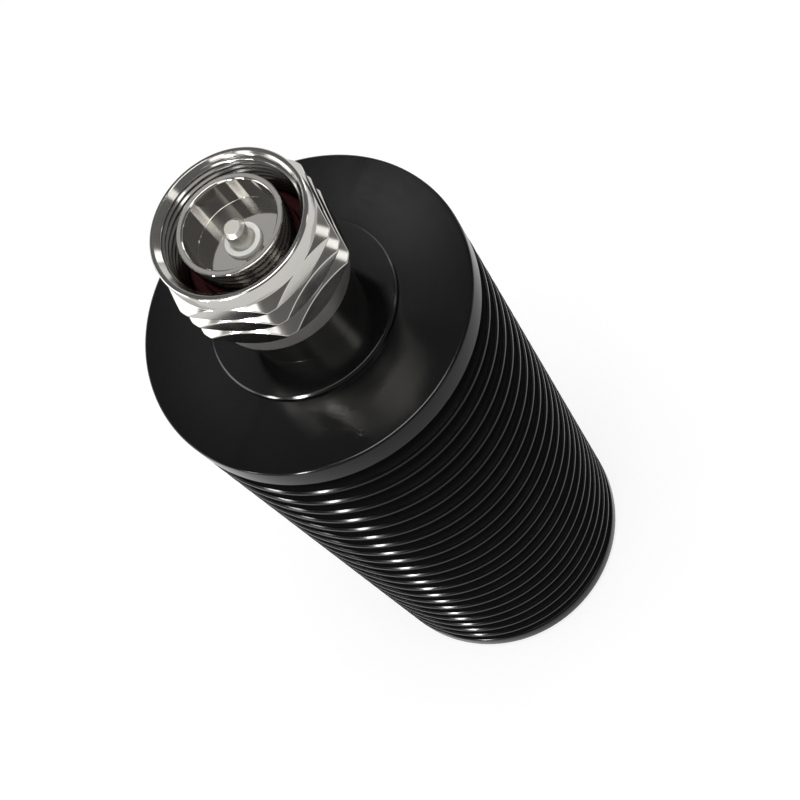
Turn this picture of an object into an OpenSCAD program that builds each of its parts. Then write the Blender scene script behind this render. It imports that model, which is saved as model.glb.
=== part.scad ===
// RF dummy load: a finned heat sink with a screw-on coaxial plug at its front end.
// The part stands on its rear face. Z runs along the axis, from the rear face to the plug.

/* [Heat sink] */
// Diameter over the flanges and fins
body_d = 50; // [44:0.5:60]
// Thickness of the front flange
front_flange_t = 4.6; // [3:0.1:8]
// Thickness of the rear flange
rear_flange_t = 5.2; // [3:0.1:8]
// Number of fins between the flanges
fin_count = 21; // [14:1:28]
// Thickness of a fin
fin_t = 1; // [0.8:0.1:1.6]
// Free space between fins
fin_gap = 3.4; // [2.5:0.1:5]
// Diameter of the core that the fins stand on
core_d = 34; // [31:0.5:40]
// Chamfer along the edge of each fin
fin_chamfer = 0.12; // [0.05:0.01:0.3]
// Chamfer along the edges of the front flange
flange_chamfer = 0.4; // [0.1:0.05:1]
// Rounding of the rear edge
rear_round = 1.2; // [0.4:0.1:2.5]
// Diameter of the blind bore
bore_d = 26; // [24.5:0.1:28]
// Metal left behind the blind bore
bore_floor_t = 14; // [8:0.5:24]

/* [Front plug] */
// Diameter of the raised pad on the front face
pad_d = 28.4; // [28:0.1:34]
// Height of the raised pad
pad_h = 0.8; // [0.5:0.1:2]
// Chamfer along the edge of the pad
pad_chamfer = 0.3; // [0.1:0.05:0.45]
// Length of the spigot in the bore
spigot_len = 9; // [7:0.5:12]
// Thickness of the seal ring's cord
seal_cord = 1.6; // [1:0.1:2]
// Distance from the front face to the middle of the seal ring
seal_setback = 3; // [2:0.1:4]

/* [Connector body] */
// Radial room for the mating socket, between the sleeve and the thread
socket_room = 2.06; // [1.9:0.02:2.3]
// Wall of the sleeve
sleeve_wall = 0.9; // [0.5:0.05:1.1]
// Chamfer around the sleeve's mouth
mouth_chamfer = 0.2; // [0.1:0.05:0.45]
// Depth of the sleeve's floor below its front edge
floor_depth = 4.7; // [4.4:0.1:6]
// Thickness of the sleeve's floor
floor_t = 7; // [4:0.5:8]
// Radial step from the neck to the collar
collar_step = 0.45; // [0.3:0.05:0.8]
// Thickness of the collar
collar_t = 1.4; // [1:0.1:2]
// Diameter of the shank
shank_d = 14; // [12:0.1:15]
// Shank left past its ring nut
shank_past = 0.5; // [0:0.1:1.5]
// Depth of the gasket below the sleeve's front edge
gasket_depth = 7.1; // [6:0.1:7.6]
// Thickness of the gasket
gasket_t = 1.6; // [1:0.1:2]

/* [Coupling nut] */
// Wall from the thread to the flats
nut_wall = 1.54; // [1.4:0.02:2.8]
// Length of the nut
nut_len = 16.5; // [16:0.1:20]
// Distance from the pad to the nut
nut_standoff = 7.95; // [6:0.05:12]
// Distance from the nut's front edge back to the sleeve's front edge
sleeve_recess = 0.5; // [0.2:0.1:2]
// Radial depth turned off the hexagon's corners
corner_trim = 0.4; // [0.2:0.05:0.8]
// Depth of the two V grooves below the flats
groove_cut = 0.3; // [0.1:0.05:0.5]
// Width left at a corner between the grooves
land_w = 0.2; // [0.1:0.05:0.8]
// Distance from the front edge to the first groove
groove_setback = 6; // [5.4:0.1:7]
// Length of the cone behind the hexagon
rear_cone = 2.1; // [1.7:0.1:3]
// Radial step from the flats down to the rear rim
rim_step = 0.6; // [0.2:0.05:0.8]
// Chamfer on the front edge
lip_chamfer = 0.25; // [0.1:0.05:0.4]
// Inner diameter of the thread
thread_d = 18.92; // [18.6:0.02:19.3]
// Depth of the lead-in cone
lead_in = 0.9; // [0.4:0.05:1.2]
// Thickness of the snap ring
snap_t = 1; // [0.6:0.1:1.4]
// Height of the snap ring above the nut's rear edge
snap_setback = 2; // [1:0.1:3]
// Depth of the snap ring's seat in the neck
snap_seat = 0.6; // [0.4:0.05:0.8]
// Opening of the snap ring
snap_gap = 3; // [1:0.5:6]

/* [Inner conductor] */
// Diameter of the pin
pin_d = 3.1; // [2.4:0.1:3.4]
// Radial step from the pin to its root in the insulator
pin_root_step = 0.2; // [0.16:0.02:0.3]
// Diameter of the pin's flat tip
tip_d = 2.1; // [1.4:0.1:2.2]
// Distance from the sleeve's front edge back to the tip
pin_recess = 0.95; // [0.5:0.05:1.5]
// Diameter of the stop behind the insulator
pin_stop_d = 4.4; // [4.2:0.1:5.4]
// Thickness of the stop
pin_stop_t = 1.5; // [1:0.1:2]
// Diameter of the tail
tail_d = 1.8; // [1.4:0.1:2.2]
// Diameter of the insulator in the sleeve's floor
bead_d = 5.1; // [4.6:0.1:5.8]
// Height of the insulator above the sleeve's floor
bead_proud = 0.6; // [0.2:0.1:1]
// Diameter of the insulator behind the floor
bead_rear_d = 6.8; // [6.4:0.1:8]
// Length of the insulator behind the floor
bead_rear_len = 10; // [6:0.5:12]
// Length of the rear bead
rear_bead_len = 2.5; // [1.5:0.1:4]

/* [Clamping] */
// Width of the ring nut across its flats
ring_nut_af = 19.2; // [17.6:0.1:19.3]
// Thickness of the ring nut
ring_nut_t = 4; // [3:0.1:5]
// Outer diameter of the lock washer
washer_d = 19.6; // [17:0.1:20.4]
// Thickness of the lock washer
washer_t = 0.8; // [0.5:0.1:1.2]

/* [Termination] */
// Free depth behind the shank, down to the carrier's shelf
shelf_room = 4.7; // [3:0.1:8]
// Length of the carrier's milled flat
flat_len = 24; // [20:0.5:28]
// Distance from the shelf to the middle of the termination
term_setback = 13; // [12:0.1:14]
// Length of the flange, across the axis
flange_len = 22; // [20:0.1:22.6]
// Width of the flange, along the axis
flange_w = 9.5; // [8:0.1:11]
// Thickness of the flange
flange_t = 3; // [2:0.1:3.4]
// Distance between the flange's two holes
hole_spacing = 16; // [15.4:0.1:16.4]
// Diameter of the flange's holes
hole_d = 3.4; // [3.2:0.1:3.8]
// Width of the ceramic plate, across the axis
substrate_w = 9; // [7:0.1:9.2]
// Length of the ceramic plate, along the axis
substrate_len = 9; // [8:0.1:9.4]
// Thickness of the ceramic plate
substrate_t = 1; // [0.6:0.1:1.4]
// Width of the resistor film
film_w = 5; // [4:0.1:6]
// Length of the resistor film
film_len = 6; // [4:0.1:6.4]
// Thickness of the resistor film
film_t = 0.1; // [0.05:0.01:0.2]
// Width of the ceramic lid
lid_w = 7; // [6.2:0.1:8]
// Thickness of the ceramic lid
lid_t = 1; // [0.5:0.1:1.5]
// Width of the lead strip
tab_w = 1.6; // [1:0.1:1.8]
// Thickness of the lead strip
tab_t = 0.2; // [0.1:0.05:0.3]
// Length of the lead strip in the tail's slot
tab_grip = 2.5; // [1:0.1:3]
// Length of the tail past the carrier's shelf
tail_past = 3; // [1:0.1:4]

/* [Screws] */
// Diameter of the flange screws
screw_d = 3; // [2.5:0.1:3]
// Diameter of a screw's head
screw_head_d = 5.5; // [5:0.1:5.6]
// Height of a screw's head
screw_head_h = 3; // [2:0.1:3.2]
// Width of the socket in the head, across its flats
socket_af = 2.5; // [2:0.1:3]
// Depth of a screw in the carrier
screw_grip = 3.2; // [2.6:0.1:3.5]
// Depth of the tapped holes past the screws
tap_room = 0.3; // [0.1:0.05:0.4]
// Outer diameter of the spring washers
spring_washer_d = 5.8; // [5.6:0.1:6]
// Thickness of the spring washers
spring_washer_t = 0.7; // [0.4:0.1:0.9]

/* [Clearances] */
// Radial clearance of the nut on the neck
run_fit = 0.06; // [0.03:0.01:0.1]
// Radial clearance of parts that are pushed together
slide_fit = 0.02; // [0.01:0.01:0.05]
// Radial clearance around the seal ring's cord
seal_fit = 0.05; // [0.02:0.01:0.1]
// Radial clearance from the collar to the thread
collar_gap = 0.3; // [0.26:0.02:0.4]
// Radial clearance from the gasket to the thread
gasket_gap = 0.45; // [0.3:0.05:0.6]
// Axial play of the nut under the collar
nut_play = 0.2; // [0.1:0.05:0.4]
// Clearance between the snap ring and the nut's groove
snap_play = 0.3; // [0.26:0.02:0.4]
// Clearance of the lead strip in the tail's slot
slot_fit = 0.05; // [0.02:0.01:0.1]
// Radial room around the ring nut's corners
nut_room = 0.4; // [0.2:0.1:0.6]

/* [Hidden] */
$fn = 96;
// Facets around the seal ring's cord
cord_facets = 32;
// Overshoot of cuts, so that no face is shared with what they cut
cut = 1;
sqrt3 = sqrt(3);

// Heat sink, from its rear face
fin_pitch = fin_t + fin_gap;
fin_z0 = rear_flange_t + fin_gap;
front_flange_z = fin_z0 + fin_count * fin_pitch;
face_z = front_flange_z + front_flange_t;
bore_z = bore_floor_t;

// Front plug
pad_z = face_z + pad_h;
spigot_z = face_z - spigot_len;
spigot_d = bore_d - 2 * slide_fit;
shank_hole_d = shank_d + 2 * slide_fit;
seal_z = face_z - seal_setback;
seal_d = bore_d - 2 * seal_fit - seal_cord;
seal_groove_d = seal_d - seal_cord - 2 * seal_fit;
seal_groove_w = seal_cord + 2 * seal_fit;

// Connector body, from the front edge of the nut backwards
nut_z = pad_z + nut_standoff;
nut_front_z = nut_z + nut_len;
sleeve_z = nut_front_z - sleeve_recess;
sleeve_od = thread_d - 2 * socket_room;
sleeve_id = sleeve_od - 2 * sleeve_wall;
floor_z = sleeve_z - floor_depth;
gasket_top_z = sleeve_z - gasket_depth;
collar_top_z = gasket_top_z - gasket_t;
collar_z = collar_top_z - collar_t;
collar_d = thread_d - 2 * collar_gap;
neck_d = collar_d - 2 * collar_step;
gasket_d = thread_d - 2 * gasket_gap;
washer_z = spigot_z - washer_t;
ring_nut_z = washer_z - ring_nut_t;
shank_z = ring_nut_z - shank_past;

// Coupling nut
nut_af = thread_d + 2 * nut_wall;
corner_d = nut_af * 2 / sqrt3 - 2 * corner_trim;
groove_d = nut_af - 2 * groove_cut;
rim_d = nut_af - 2 * rim_step;
groove_half = (corner_d - groove_d) / 2;
groove_pitch = 2 * groove_half + land_w;
front_groove_z = nut_front_z - groove_setback;
rear_groove_z = front_groove_z - groove_pitch;
front_land_z = front_groove_z + groove_half + land_w;
rear_land_z = rear_groove_z - groove_half - land_w;
front_cone = (corner_d - nut_af) / 2;
thread_z = collar_z - nut_play;
snap_z = nut_z + snap_setback;
snap_id = neck_d - 2 * snap_seat;
snap_seat_d = snap_id - 2 * slide_fit;
snap_od = neck_d + 2 * snap_seat;
snap_groove_d = snap_od + 2 * snap_play;

// Inner conductor
bead_top_z = floor_z + bead_proud;
bead_step_z = floor_z - floor_t;
bead_rear_z = bead_step_z - bead_rear_len;
pin_tip_z = sleeve_z - pin_recess;
tip_cone = (pin_d - tip_d) / 2;
pin_root_d = pin_d + 2 * pin_root_step;
pin_stop_z = bead_rear_z - pin_stop_t;
rear_bead_z = shank_z;

// Carrier and termination
carrier_d = bore_d - 2 * slide_fit;
carrier_rim_d = ring_nut_af * 2 / sqrt3 + 2 * nut_room;
shelf_z = shank_z - shelf_room;
flat_z = shelf_z - flat_len;
term_z = shelf_z - term_setback;
tab_y = tab_t / 2;
substrate_y = -tab_y - substrate_t;
flange_y = substrate_y - flange_t;
film_z = term_z - substrate_len / 2;
tail_z = shelf_z - tail_past;
tab_top_z = tail_z + tab_grip;
tab_z = film_z + film_len;
screw_head_z = -flange_t - spring_washer_t;
socket_depth = screw_head_h / 2;

// Round bar from z0 to z1
module bar(d, z0, z1) {
    translate([0, 0, z0]) cylinder(d = d, h = z1 - z0);
}

// Round tube from z0 to z1
module tube(od, id, z0, z1) {
    difference() {
        bar(od, z0, z1);
        bar(id, z0 - cut, z1 + cut);
    }
}

// Block given by its middle in X, its lower side in Y and its lower end in Z
module slab(w, y0, t, z0, len) {
    translate([-w / 2, y0, z0]) cube([w, t, len]);
}

// Turns an outline of [radius, height] points about the axis
module turned(points) {
    rotate_extrude() polygon(points);
}

// Hexagon bar given by its width across the flats
module hex_bar(af, z0, z1) {
    translate([0, 0, z0]) cylinder(d = af * 2 / sqrt3, h = z1 - z0, $fn = 6);
}

// A disc with chamfered edges, as four points of its outline
function disc_edge(d, z0, z1, c) = [
    [d / 2 - c, z0], [d / 2, z0 + c], [d / 2, z1 - c], [d / 2 - c, z1]
];

// Fins and front flange as one stepped outline along the core
function finned_outline() = concat(
    [[0, rear_flange_t / 2], [core_d / 2, rear_flange_t / 2]],
    [for (i = [0:fin_count - 1])
        let (z = fin_z0 + i * fin_pitch)
        each concat(
            [[core_d / 2, z]],
            disc_edge(body_d, z, z + fin_t, fin_chamfer),
            [[core_d / 2, z + fin_t]]
        )],
    [[core_d / 2, front_flange_z]],
    disc_edge(body_d, front_flange_z, face_z, flange_chamfer),
    [[0, face_z]]
);

module heat_sink() {
    color([0.06, 0.06, 0.07])
    difference() {
        union() {
            turned(finned_outline());
            bar(body_d, rear_round, rear_flange_t);
            bar(body_d - 2 * rear_round, 0, rear_flange_t);
            rotate_extrude() translate([body_d / 2 - rear_round, rear_round]) circle(r = rear_round);
        }
        bar(bore_d, bore_z, face_z + cut);
    }
}

module front_plug() {
    color([0.07, 0.07, 0.08])
    difference() {
        union() {
            bar(spigot_d, spigot_z, face_z);
            turned([
                [0, face_z], [pad_d / 2, face_z], [pad_d / 2, pad_z - pad_chamfer],
                [pad_d / 2 - pad_chamfer, pad_z], [0, pad_z]
            ]);
        }
        bar(shank_hole_d, spigot_z - cut, pad_z + cut);
        tube(bore_d + cut, seal_groove_d, seal_z - seal_groove_w / 2, seal_z + seal_groove_w / 2);
    }
}

module plug_seal() {
    color([0.10, 0.10, 0.10])
    translate([0, 0, seal_z]) rotate_extrude()
        translate([seal_d / 2, 0]) circle(d = seal_cord, $fn = cord_facets);
}

module plug_body() {
    color([0.78, 0.77, 0.74])
    difference() {
        union() {
            bar(shank_d, shank_z, pad_z);
            bar(neck_d, pad_z, collar_z);
            bar(collar_d, collar_z, collar_top_z);
            turned([
                [0, collar_top_z], [sleeve_od / 2, collar_top_z],
                [sleeve_od / 2, sleeve_z - mouth_chamfer / 2],
                [sleeve_od / 2 - mouth_chamfer / 2, sleeve_z], [0, sleeve_z]
            ]);
        }
        // Polished cup with its lead-in
        turned([
            [0, floor_z], [sleeve_id / 2, floor_z], [sleeve_id / 2, sleeve_z - mouth_chamfer],
            [sleeve_id / 2 + mouth_chamfer, sleeve_z], [sleeve_id / 2 + mouth_chamfer, sleeve_z + cut],
            [0, sleeve_z + cut]
        ]);
        bar(bead_d + 2 * slide_fit, bead_step_z - cut, floor_z + cut);
        bar(bead_rear_d + 2 * slide_fit, shank_z - cut, bead_step_z);
        tube(neck_d + cut, snap_seat_d, snap_z, snap_z + snap_t);
    }
}

module lock_washer() {
    color([0.62, 0.62, 0.62])
    tube(washer_d, shank_hole_d, washer_z, spigot_z);
}

module ring_nut() {
    color([0.72, 0.66, 0.42])
    difference() {
        hex_bar(ring_nut_af, ring_nut_z, washer_z);
        bar(shank_hole_d, ring_nut_z - cut, washer_z + cut);
    }
}

// Outline of the nut's outside, with its tapered skirt, rear cone, two V grooves, front cone and lip
function nut_outline() = [
    [0, nut_z], [rim_d / 2, nut_z], [groove_d / 2, rear_land_z - rear_cone],
    [corner_d / 2, rear_land_z], [corner_d / 2, rear_groove_z - groove_half],
    [groove_d / 2, rear_groove_z],
    [corner_d / 2, rear_groove_z + groove_half], [corner_d / 2, front_groove_z - groove_half],
    [groove_d / 2, front_groove_z],
    [corner_d / 2, front_groove_z + groove_half], [corner_d / 2, front_land_z],
    [nut_af / 2, front_land_z + front_cone],
    [nut_af / 2, nut_front_z - lip_chamfer], [nut_af / 2 - lip_chamfer, nut_front_z], [0, nut_front_z]
];

// Outline of the nut's inside: bearing on the neck, threaded length and lead-in
function nut_bore() = [
    [0, nut_z - cut], [neck_d / 2 + run_fit, nut_z - cut], [neck_d / 2 + run_fit, thread_z],
    [thread_d / 2, thread_z], [thread_d / 2, nut_front_z - lead_in],
    [thread_d / 2 + lead_in, nut_front_z], [thread_d / 2 + lead_in, nut_front_z + cut],
    [0, nut_front_z + cut]
];

module coupling_nut() {
    color([0.80, 0.78, 0.74])
    difference() {
        intersection() {
            hex_bar(nut_af, nut_z, nut_front_z);
            turned(nut_outline());
        }
        turned(nut_bore());
        bar(snap_groove_d, snap_z - snap_play, snap_z + snap_t + snap_play);
    }
}

module snap_ring() {
    color([0.72, 0.66, 0.42])
    difference() {
        tube(snap_od, snap_id, snap_z, snap_z + snap_t);
        translate([0, -snap_gap / 2, snap_z - cut]) cube([snap_od, snap_gap, snap_t + 2 * cut]);
    }
}

module mating_gasket() {
    color([0.30, 0.05, 0.06])
    tube(gasket_d, sleeve_od + 2 * slide_fit, collar_top_z, gasket_top_z);
}

module insulator_bead() {
    color([0.93, 0.93, 0.90])
    difference() {
        union() {
            bar(bead_d, bead_step_z, bead_top_z);
            bar(bead_rear_d, bead_rear_z, bead_step_z);
        }
        bar(pin_root_d + 2 * slide_fit, bead_rear_z - cut, bead_top_z + cut);
    }
}

module rear_bead() {
    color([0.93, 0.93, 0.90])
    tube(bead_rear_d, tail_d + 2 * slide_fit, rear_bead_z, rear_bead_z + rear_bead_len);
}

module centre_pin() {
    color([0.80, 0.79, 0.70])
    difference() {
        union() {
            turned([
                [0, pin_stop_z], [pin_root_d / 2, pin_stop_z], [pin_root_d / 2, bead_top_z],
                [pin_d / 2, bead_top_z], [pin_d / 2, pin_tip_z - tip_cone],
                [tip_d / 2, pin_tip_z], [0, pin_tip_z]
            ]);
            bar(pin_stop_d, pin_stop_z, bead_rear_z);
            bar(tail_d, tail_z, pin_stop_z);
        }
        slab(2 * tail_d, -tab_y - slot_fit, tab_t + 2 * slot_fit, tail_z - cut, tab_grip + slot_fit + cut);
    }
}

module carrier() {
    color([0.70, 0.71, 0.72])
    difference() {
        bar(carrier_d, bore_z, spigot_z);
        bar(carrier_rim_d, shelf_z, spigot_z + cut);
        translate([-bore_d / 2, flange_y, flat_z]) cube([bore_d, bore_d, flat_len]);
        each_screw() cylinder(d = screw_d + 2 * slide_fit, h = screw_grip + tap_room);
    }
}

// Places what follows at each screw: Z runs into the carrier, from the foot of the flange
module each_screw() {
    for (side = [-1, 1])
        translate([side * hole_spacing / 2, flange_y, term_z]) rotate([90, 0, 0]) children();
}

module termination_flange() {
    color([0.76, 0.70, 0.62])
    difference() {
        slab(flange_len, flange_y, flange_t, term_z - flange_w / 2, flange_w);
        each_screw() translate([0, 0, -flange_t - cut]) cylinder(d = hole_d, h = flange_t + 2 * cut);
    }
}

module substrate() {
    color([0.86, 0.85, 0.82])
    slab(substrate_w, substrate_y, substrate_t, term_z - substrate_len / 2, substrate_len);
}

module resistor_film() {
    color([0.14, 0.12, 0.11])
    slab(film_w, -tab_y, film_t, film_z, film_len);
}

module ceramic_lid() {
    color([0.90, 0.89, 0.86])
    slab(lid_w, -tab_y + film_t, lid_t, film_z, film_len);
}

module lead_tab() {
    color([0.82, 0.82, 0.80])
    slab(tab_w, -tab_y, tab_t, tab_z, tab_top_z - tab_z);
}

module flange_screws() {
    color([0.35, 0.35, 0.36])
    each_screw() difference() {
        union() {
            translate([0, 0, screw_head_z]) cylinder(d = screw_d, h = screw_grip - screw_head_z);
            translate([0, 0, screw_head_z - screw_head_h]) cylinder(d = screw_head_d, h = screw_head_h);
        }
        translate([0, 0, screw_head_z - screw_head_h - cut])
            cylinder(d = socket_af * 2 / sqrt3, h = socket_depth + cut, $fn = 6);
    }
}

module flange_washers() {
    color([0.62, 0.62, 0.62])
    each_screw() translate([0, 0, screw_head_z]) difference() {
        cylinder(d = spring_washer_d, h = spring_washer_t);
        translate([0, 0, -cut]) cylinder(d = hole_d, h = spring_washer_t + 2 * cut);
    }
}

heat_sink();
front_plug();
plug_seal();
plug_body();
lock_washer();
ring_nut();
coupling_nut();
snap_ring();
mating_gasket();
insulator_bead();
rear_bead();
centre_pin();
carrier();
termination_flange();
substrate();
resistor_film();
ceramic_lid();
lead_tab();
flange_screws();
flange_washers();
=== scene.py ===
"""Looks of an RF dummy load: a finned black heat sink with a screw-on coaxial plug at its front end.

Every turned piece is an outline carried round the Z axis, and the coupling nut is a surface over angle
and height.
"""
import math

import bmesh
import bpy
import numpy as np
from bpy.props import FloatProperty, FloatVectorProperty, IntProperty, PointerProperty
from bpy.types import Operator, Panel, PropertyGroup
from mathutils import Matrix, Vector


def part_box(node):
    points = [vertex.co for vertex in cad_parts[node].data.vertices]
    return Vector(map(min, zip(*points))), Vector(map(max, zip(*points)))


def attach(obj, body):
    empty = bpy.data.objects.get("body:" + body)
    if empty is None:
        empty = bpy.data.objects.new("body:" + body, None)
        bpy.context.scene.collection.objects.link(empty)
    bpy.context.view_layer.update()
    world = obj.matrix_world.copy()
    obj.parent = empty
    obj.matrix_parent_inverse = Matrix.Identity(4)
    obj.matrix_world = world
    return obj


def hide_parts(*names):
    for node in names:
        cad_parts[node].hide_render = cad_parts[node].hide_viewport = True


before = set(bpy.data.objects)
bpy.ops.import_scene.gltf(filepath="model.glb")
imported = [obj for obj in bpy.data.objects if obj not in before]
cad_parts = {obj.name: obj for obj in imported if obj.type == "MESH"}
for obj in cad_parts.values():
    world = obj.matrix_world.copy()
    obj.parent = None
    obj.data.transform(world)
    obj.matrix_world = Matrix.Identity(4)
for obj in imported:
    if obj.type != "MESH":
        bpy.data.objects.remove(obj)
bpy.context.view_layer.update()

bl_info = {
    "name": "RF dummy load",
    "version": (1, 0, 0),
    "blender": (4, 5, 0),
    "location": "View3D > Sidebar > Dummy load",
    "description": "Builds the visible pieces, finishes and stage of an RF dummy load",
    "category": "Add Mesh",
}

MM = 0.001
# Points closer than this are one point
WELD = 1e-8
# Keeps a division from meeting zero
TINY = 1e-20
# Points on a rounded corner, and the largest share of a side that its rounding takes
ARC_STEPS = 4
SIDE_SHARE = 0.45
# Faces round the axis
BODY_COLUMNS = 270
PAD_COLUMNS = 300
CONNECTOR_COLUMNS = 256
NUT_COLUMNS = 360
GASKET_COLUMNS = 192
BEAD_COLUMNS = 160
WALL_COLUMNS = 96
# Rows of faces on one turn of the thread
THREAD_ROWS = 16

# Range that most noise values fall in
NOISE_LOW = 0.3
NOISE_HIGH = 0.7
# Length over which one finish goes into another
SOFT_STEP = 0.05 * MM
# Depth of lathe rings and of grain at a strength of one
RELIEF = 0.01 * MM
# Fine rings on the front faces
FACE_RING_SPACING = 0.004 * MM
FACE_RING_DEPTH = 0.0105 * MM
FACE_RING_STRENGTH = 0.14
# Shares of the glossy coat on the fins and on the front flange's wall
FIN_GLOSS = 0.3
WALL_GLOSS = 0.15
# Depths below the rim between which the fins go from black to a lighter grey, painted light that lifts the
# shade between the fins
PAINTED_LIGHT_START = 6 * SOFT_STEP
PAINTED_LIGHT_FULL = 10 * SOFT_STEP
# Share of the plating's brightness that is left in the thread's roots, where shade is painted
PAINTED_ROOT_SHADE = 0.12

# Floor: its colour, its glow near the part and far away, and the distances between which the glow changes
FLOOR_GREY = 0.3
NEAR_GLOW = 0.81
FAR_GLOW = 1.0
NEAR_DISTANCE = 300 * MM
FAR_DISTANCE = 1500 * MM
# Sines of the elevations between which the room goes from its horizon to its zenith
HORIZON_END = 0.05
ZENITH_START = 0.45
# Lamps whose names begin so make highlights alone
HIGHLIGHT_LAMPS = ("strip", "face")

# Heights and radii that the frame gives
FACE_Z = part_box("heat_sink")[1].z
BODY_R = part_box("heat_sink")[1].x
PAD_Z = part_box("front_plug")[1].z
PAD_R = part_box("front_plug")[1].x
SPIGOT_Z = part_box("front_plug")[0].z
NUT_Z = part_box("coupling_nut")[0].z
NUT_FRONT_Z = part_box("coupling_nut")[1].z
NUT_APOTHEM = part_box("coupling_nut")[1].y
NUT_CORNER_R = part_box("coupling_nut")[1].x
SLEEVE_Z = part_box("plug_body")[1].z
SHANK_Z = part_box("plug_body")[0].z
COLLAR_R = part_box("plug_body")[1].x
GASKET_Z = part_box("mating_gasket")[0].z
GASKET_TOP_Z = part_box("mating_gasket")[1].z
GASKET_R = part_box("mating_gasket")[1].x
BEAD_TOP_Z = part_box("insulator_bead")[1].z
BEAD_REAR_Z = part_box("insulator_bead")[0].z
BEAD_REAR_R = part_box("insulator_bead")[1].x
PIN_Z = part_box("centre_pin")[1].z
SNAP_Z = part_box("snap_ring")[0].z
SNAP_TOP_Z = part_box("snap_ring")[1].z
SNAP_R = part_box("snap_ring")[1].y
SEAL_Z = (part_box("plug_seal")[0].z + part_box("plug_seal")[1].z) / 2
# Heights between which the front faces' finish begins
FACE_START_Z = FACE_Z - 2 * SOFT_STEP
FACE_FULL_Z = FACE_Z - SOFT_STEP


def length(name, millimetres, description):
    """A length property, whose default is given in millimetres and kept in metres."""
    return FloatProperty(
        name=name, description=description, default=millimetres * MM, unit="LENGTH", precision=5)


def angle(name, degrees, description):
    """An angle property, whose default is given in degrees and kept in radians."""
    return FloatProperty(name=name, description=description, default=math.radians(degrees), subtype="ANGLE")


def colour(name, rgb, description):
    """A linear colour property."""
    return FloatVectorProperty(
        name=name, description=description, default=rgb, size=3, min=0, max=1, subtype="COLOR")


class HeatSinkSizes(PropertyGroup):
    """Sizes of the finned body and of the plug in its front end."""
    fin_count: IntProperty(name="Fins", description="Number of fins between the flanges", default=21, min=1)
    fin_thickness: length("Fin thickness", 1.0, "Thickness of a fin")
    fin_gap: length("Fin gap", 3.4, "Free space between fins")
    core_radius: length("Core radius", 17.0, "Radius of the core that the fins stand on")
    front_flange: length("Front flange", 4.6, "Thickness of the front flange")
    rear_flange: length("Rear flange", 5.2, "Thickness of the rear flange")
    fin_edge: length("Fin edge", 0.2, "Rounding of a fin's rear edge")
    fin_chamfer: length("Fin chamfer", 0.28, "Chamfer of a fin's front edge")
    chamfer_edge: length("Chamfer edge", 0.04, "Rounding on both sides of a chamfer")
    fin_root: length("Fin root", 0.3, "Rounding at the foot of a fin")
    flange_edge: length("Flange edge", 0.4, "Rounding of the front flange's edges")
    rear_edge: length("Rear edge", 1.9, "Length of the rear edge's rounding along its faces")
    bore_radius: length("Bore radius", 13.0, "Radius of the blind bore")
    bore_floor: length("Bore floor", 14.0, "Metal behind the blind bore")
    pad_edge: length("Pad edge", 0.3, "Chamfer of the raised pad")
    plug_fit: length("Plug fit", 0.02, "Radial clearance of the plug in the bore")
    seal_groove: length("Seal groove", 1.7, "Width and depth of the seal ring's groove")


class PlugSizes(PropertyGroup):
    """Sizes of the connector's body, insulator and gasket."""
    shank_radius: length("Shank radius", 7.0, "Radius of the shank behind the pad")
    neck_radius: length("Neck radius", 8.71, "Radius of the neck")
    snap_seat: length("Snap ring seat", 0.62, "Depth of the snap ring's seat in the neck")
    collar_thickness: length("Collar", 1.4, "Thickness of the collar under the gasket")
    sleeve_radius: length("Sleeve radius", 6.5, "Inner radius of the sleeve")
    sleeve_wall: length("Sleeve wall", 0.9, "Wall of the sleeve")
    mouth_chamfer: length("Mouth chamfer", 0.2, "Chamfer inside the sleeve's front edge")
    floor_depth: length("Floor depth", 4.7, "Depth of the sleeve's floor")
    floor_thickness: length("Floor thickness", 7.0, "Thickness of the sleeve's floor")
    bead_radius: length("Bead radius", 2.55, "Radius of the insulator in the floor")
    pin_hole: length("Pin hole", 1.77, "Radius of the hole in the insulator")
    fit: length("Fit", 0.02, "Radial clearance of pieces that are pushed together")
    edge: length("Edge", 0.06, "Rounding of turned edges")


class NutSizes(PropertyGroup):
    """Sizes of the coupling nut."""
    groove_cut: length("Groove depth", 0.3, "Depth of the V grooves below the flats")
    land: length("Land", 0.2, "Width left at a corner between the grooves")
    groove_setback: length("Groove setback", 6.0, "Distance from the front edge to the first groove")
    rear_cone: length("Rear cone", 2.1, "Length of the cone behind the hexagon")
    rim_step: length("Rim step", 0.6, "Radial step from the flats to the rear rim")
    lip_chamfer: length("Lip chamfer", 0.25, "Chamfer on the front edge")
    thread_radius: length("Thread radius", 9.46, "Inner radius of the thread")
    thread_depth: length("Thread depth", 0.54, "Depth of the thread")
    thread_pitch: length("Thread pitch", 1.0, "Pitch of the thread")
    lead_in: length("Lead-in", 0.9, "Depth of the cone at the mouth")
    bearing_fit: length("Bearing fit", 0.06, "Radial clearance on the neck")
    shoulder: length("Shoulder", 5.7, "Height of the inner shoulder above the rear edge")
    snap_play: length("Snap ring play", 0.3, "Clearance round the snap ring")
    edge: length("Edge", 0.05, "Rounding of the nut's edges")


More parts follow.
